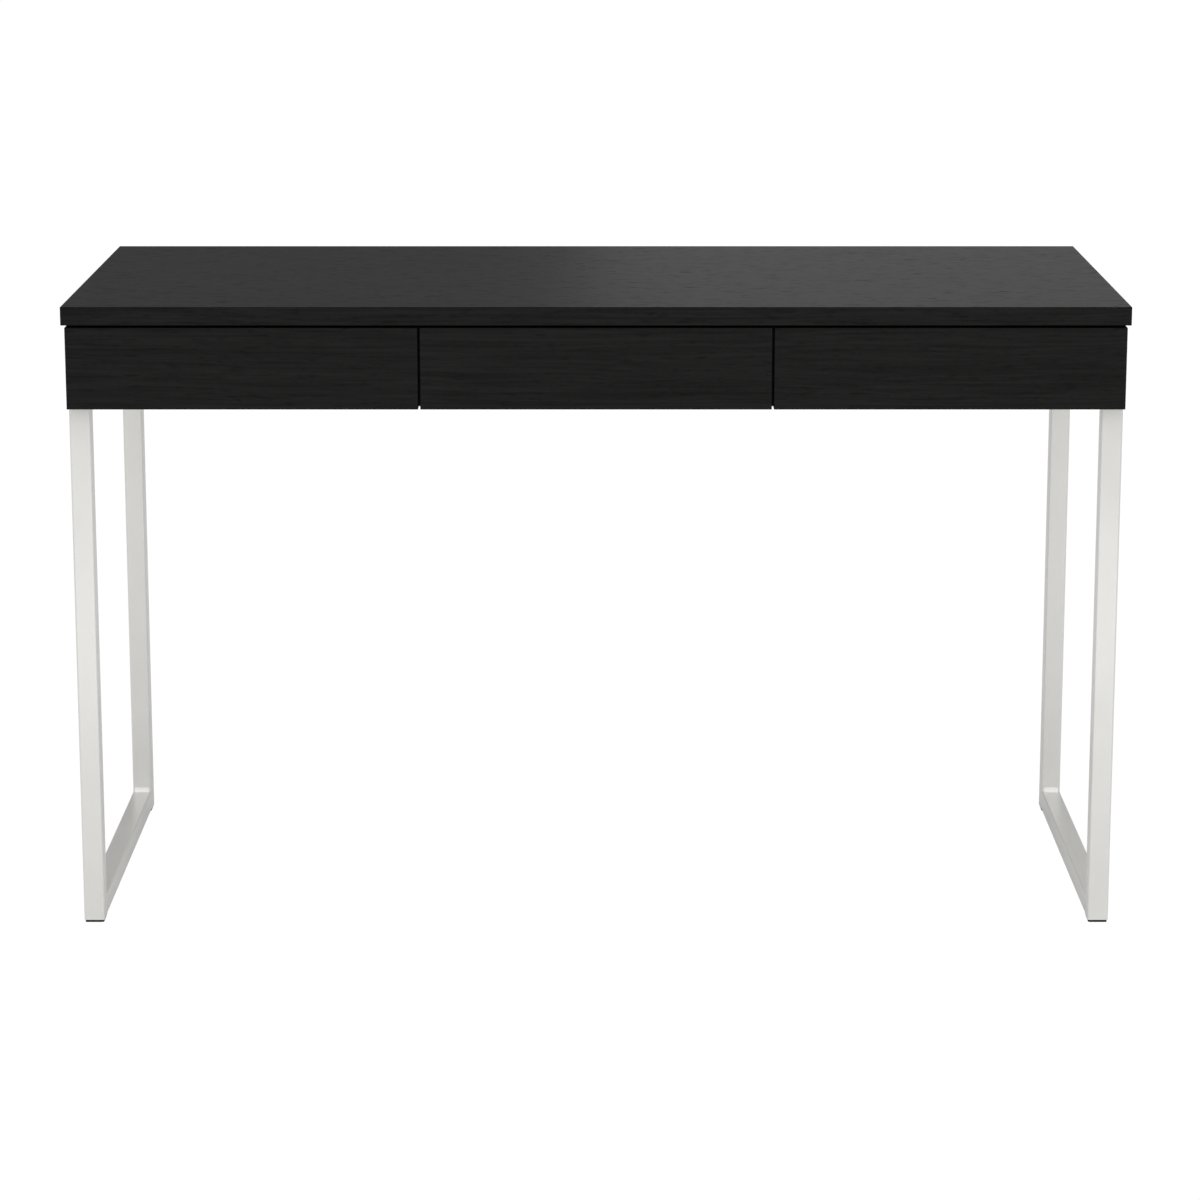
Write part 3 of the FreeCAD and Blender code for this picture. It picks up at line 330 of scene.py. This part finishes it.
SLOT_MATERIALS = {
    "black_woodgrain_board": woodgrain("black_woodgrain", 0),
    "drawer_board": foil("drawer_foil", (0.030, 0.030, 0.030), (0.042, 0.042, 0.041), 0.45),
    "hardboard": foil("bottom_lacquer", (0.040, 0.039, 0.038), (0.060, 0.058, 0.056), 0.35),
    "silver_paint": powder_coat("silver_powder_coat", SILVER_DARK, SILVER_LIGHT,
                                metallic=0.50, roughness=0.29, grain=700.0),
    "white_enamel": powder_coat("white_enamel", (0.76, 0.76, 0.74), (0.82, 0.82, 0.80),
                                metallic=0.0, roughness=0.30, grain=500.0),
    "zinc_plated_steel": bare_metal("bright_zinc", (0.55, 0.56, 0.59), (0.72, 0.73, 0.75),
                                    roughness=0.29, grain=400.0),
    "cast_zinc": bare_metal("cast_zinc", (0.38, 0.38, 0.40), (0.50, 0.50, 0.52),
                            roughness=0.42, grain=700.0),
    "black_plastic": moulded("black_plastic", (0.004, 0.004, 0.004), (0.007, 0.007, 0.007),
                             roughness=0.6, grain=2500.0, shine=0.1),
    "white_nylon": moulded("white_nylon", (0.80, 0.80, 0.76), (0.86, 0.86, 0.83),
                           roughness=0.3, grain=900.0, shine=0.5),
    "beech": turned_beech("beech"),
}
# The uprights are cut with their grain from front to back.
LENGTHWISE_GRAIN = woodgrain("black_woodgrain_lengthwise", 1)
LENGTHWISE_BOARDS = ("left_side_panel", "right_side_panel", "left_partition", "right_partition")


def dress_frame():
    """Give every CAD node the material of its slot, and the uprights their own grain."""
    for part in frame["record"]["subparts"]:
        node = part["node"]
        material = SLOT_MATERIALS[part["material_slot"]]
        if node in LENGTHWISE_BOARDS:
            material = LENGTHWISE_GRAIN
        slots = frame["nodes"][node].data.materials
        slots.clear()
        slots.append(material)


# ---------------------------------------------------------------- pieces

def new_piece(name, mesh, material):
    """A piece of the desk made from a bmesh, which rides on the desk's fixed body."""
    data = bpy.data.meshes.new(name)
    mesh.to_mesh(data)
    mesh.free()
    piece = bpy.data.objects.new(name, data)
    bpy.context.scene.collection.objects.link(piece)
    data.materials.append(material)
    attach(piece, "desk")
    return piece


def bead_slice(place):
    """One cross-section of a weld bead as (out, up) pairs, at a place from 0 to 1 along it."""
    end = abs(2.0 * place - 1.0)
    taper = math.sqrt(max(1.0 - end ** BEAD_END_POWER, BEAD_END_TAPER))
    leg = BEAD_LEG * taper
    points = [(-BEAD_SINK, -BEAD_SINK), (leg, -BEAD_SINK)]
    for step in range(BEAD_ARC_STEPS + 1):
        angle = RIGHT_ANGLE * step / BEAD_ARC_STEPS
        middle = math.sin(2.0 * angle)
        straight = 1.0 / (math.cos(angle) + math.sin(angle))
        ripple = math.sin(TURN * (place * BEAD_WIDTH / RIPPLE_PITCH + RIPPLE_LEAD * middle))
        swell = 1.0 + RIPPLE_DEPTH * ripple * middle
        reach = leg * (BEAD_FLAT_SHARE * straight + BEAD_ROUND_SHARE) * swell
        points.append((reach * math.cos(angle), reach * math.sin(angle)))
    return points + [(-BEAD_SINK, leg)]


def weld_bead(mesh, middle, face, end, height, upward):
    """Lay one rippled bead against the inner face of a leg, up or down from a height.

    The end is -1 for a front leg and 1 for a rear one. The face is how far the legs' inner faces
    are from the desk's middle.
    """
    rings = []
    for index in range(BEAD_SLICES + 1):
        place = index / BEAD_SLICES
        x = middle + BEAD_WIDTH * (place - 0.5)
        ring = [mesh.verts.new((x, end * (face - out), height + upward * up))
                for out, up in bead_slice(place)]
        rings.append(ring)
    for near, far in zip(rings, rings[1:]):
        for index, vertex in enumerate(near):
            following = (index + 1) % len(near)
            mesh.faces.new((vertex, near[following], far[following], far[index]))
    mesh.faces.new(rings[0])
    mesh.faces.new(reversed(rings[-1]))


def weld_beads():
    """The weld beads of both leg frames, in place of the plain fillets."""
    bar_low, bar_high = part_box("right_floor_bar")
    frame_line = 0.5 * (bar_low[0] + bar_high[0])
    leg_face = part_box("right_rear_leg")[0][1]
    strip_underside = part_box("right_mounting_strip")[0][2]
    mesh = bmesh.new()
    for side in (-1, 1):
        for end in (-1, 1):
            weld_bead(mesh, side * frame_line, leg_face, end, bar_high[2], 1)
            weld_bead(mesh, side * frame_line, leg_face, end, strip_underside, -1)
    bmesh.ops.recalc_face_normals(mesh, faces=mesh.faces)
    for face in mesh.faces:
        face.smooth = True
    # The beads' near-white colour is the silver coat with a painted highlight put into it.
    painted_highlight_coat = powder_coat("weld_coat_painted_highlight", BEAD_PAINTED_HIGHLIGHT_DARK, BEAD_PAINTED_HIGHLIGHT_LIGHT,
                         metallic=0.0, roughness=0.30, grain=700.0)
    beads = new_piece("weld_beads", mesh, painted_highlight_coat)
    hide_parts("frame_welds")


# ---------------------------------------------------------------- the stage

def pale_floor():
    """The floor's material: a pale board to the desk, white to the camera, and clear from below."""
    graph = Graph("pale_floor")
    cloud = graph.noise(graph.place(), scale=0.5)
    graph.shade(Base_Color=graph.ramp(cloud, (0.3, 0.78), (0.7, 0.80)),
                Roughness=0.9, Specular_IOR_Level=0.0)
    board = graph.shader.outputs[0]
    white = graph.add("ShaderNodeEmission", {"Strength": WHITE}).outputs[0]
    clear = graph.add("ShaderNodeBsdfTransparent").outputs[0]
    seen = graph.add("ShaderNodeLightPath").outputs["Is Camera Ray"]
    below = graph.add("ShaderNodeNewGeometry").outputs["Backfacing"]
    above = graph.add("ShaderNodeMixShader", {0: seen, 1: board, 2: white}).outputs[0]
    either = graph.add("ShaderNodeMixShader", {0: below, 1: above, 2: clear}).outputs[0]
    graph.feed(graph.nodes["Material Output"].inputs["Surface"], either)
    return graph.material


def white_sweep():
    """The floor that the desk stands on."""
    mesh = bmesh.new()
    bmesh.ops.create_grid(mesh, x_segments=1, y_segments=1, size=FLOOR_HALF_SIDE)
    data = bpy.data.meshes.new("floor")
    mesh.to_mesh(data)
    mesh.free()
    data.materials.append(pale_floor())
    floor = bpy.data.objects.new("floor", data)
    floor.location.z = -FLOOR_DROP
    bpy.context.scene.collection.objects.link(floor)


def studio_air():
    """White all round for the camera. On the desk, a soft light from all round, dimmer behind."""
    world = bpy.data.worlds.new("studio")
    world.use_nodes = True
    bpy.context.scene.world = world
    nodes, links = world.node_tree.nodes, world.node_tree.links
    backdrop = nodes["Background"]
    ambient = nodes.new("ShaderNodeBackground")
    for background in (backdrop, ambient):
        background.inputs["Color"].default_value = (1.0, 1.0, 1.0, 1.0)
    backdrop.inputs["Strength"].default_value = WHITE
    split = nodes.new("ShaderNodeSeparateXYZ")
    links.new(nodes.new("ShaderNodeTexCoord").outputs["Generated"], split.inputs[0])
    fall = nodes.new("ShaderNodeMapRange")
    fall.interpolation_type = "SMOOTHSTEP"
    fall.inputs["From Min"].default_value = DIM_FROM_Y
    fall.inputs["From Max"].default_value = DIM_TO_Y
    fall.inputs["To Min"].default_value = AMBIENT
    fall.inputs["To Max"].default_value = AMBIENT_BEHIND
    links.new(split.outputs["Y"], fall.inputs["Value"])
    links.new(fall.outputs["Result"], ambient.inputs["Strength"])
    seen = nodes.new("ShaderNodeLightPath")
    mix = nodes.new("ShaderNodeMixShader")
    links.new(seen.outputs["Is Camera Ray"], mix.inputs[0])
    links.new(ambient.outputs[0], mix.inputs[1])
    links.new(backdrop.outputs[0], mix.inputs[2])
    links.new(mix.outputs[0], nodes["World Output"].inputs["Surface"])


def softbox(name, place, target, width, height, watts):
    """A soft area light that faces a point, and that the camera doesn't see."""
    data = bpy.data.lights.new(name, "AREA")
    data.shape = "RECTANGLE"
    data.size = width
    data.size_y = height
    data.energy = watts
    light = bpy.data.objects.new(name, data)
    light.location = place
    light.rotation_mode = "QUATERNION"
    light.rotation_quaternion = (Vector(target) - Vector(place)).to_track_quat("-Z", "Y")
    light.visible_camera = False
    bpy.context.scene.collection.objects.link(light)


def add_camera():
    """The camera that the desk is shown from."""
    data = bpy.data.cameras.new("camera")
    data.lens = CAMERA_LENS
    data.shift_y = CAMERA_SHIFT_Y
    data.clip_end = CAMERA_REACH
    camera = bpy.data.objects.new("camera", data)
    camera.location = CAMERA_PLACE
    camera.rotation_euler = (RIGHT_ANGLE - CAMERA_TILT_DOWN, 0.0, 0.0)
    bpy.context.scene.collection.objects.link(camera)
    bpy.context.scene.camera = camera


dress_frame()
weld_beads()
white_sweep()
studio_air()
softbox("key", place=(0.0, -2.2, 3.4), target=(0.0, 0.0, 0.2), width=3.2, height=2.0, watts=28.0)
softbox("fill", place=(0.0, -1.0, 0.2), target=(0.0, 0.0, 0.2), width=2.2, height=0.3, watts=0.9)
softbox("rim", place=(1.18, 1.7, 1.25), target=(1.18, 0.0, 0.9), width=2.4, height=0.7, watts=2.7)
add_camera()
bpy.context.scene.view_settings.view_transform = "Standard"
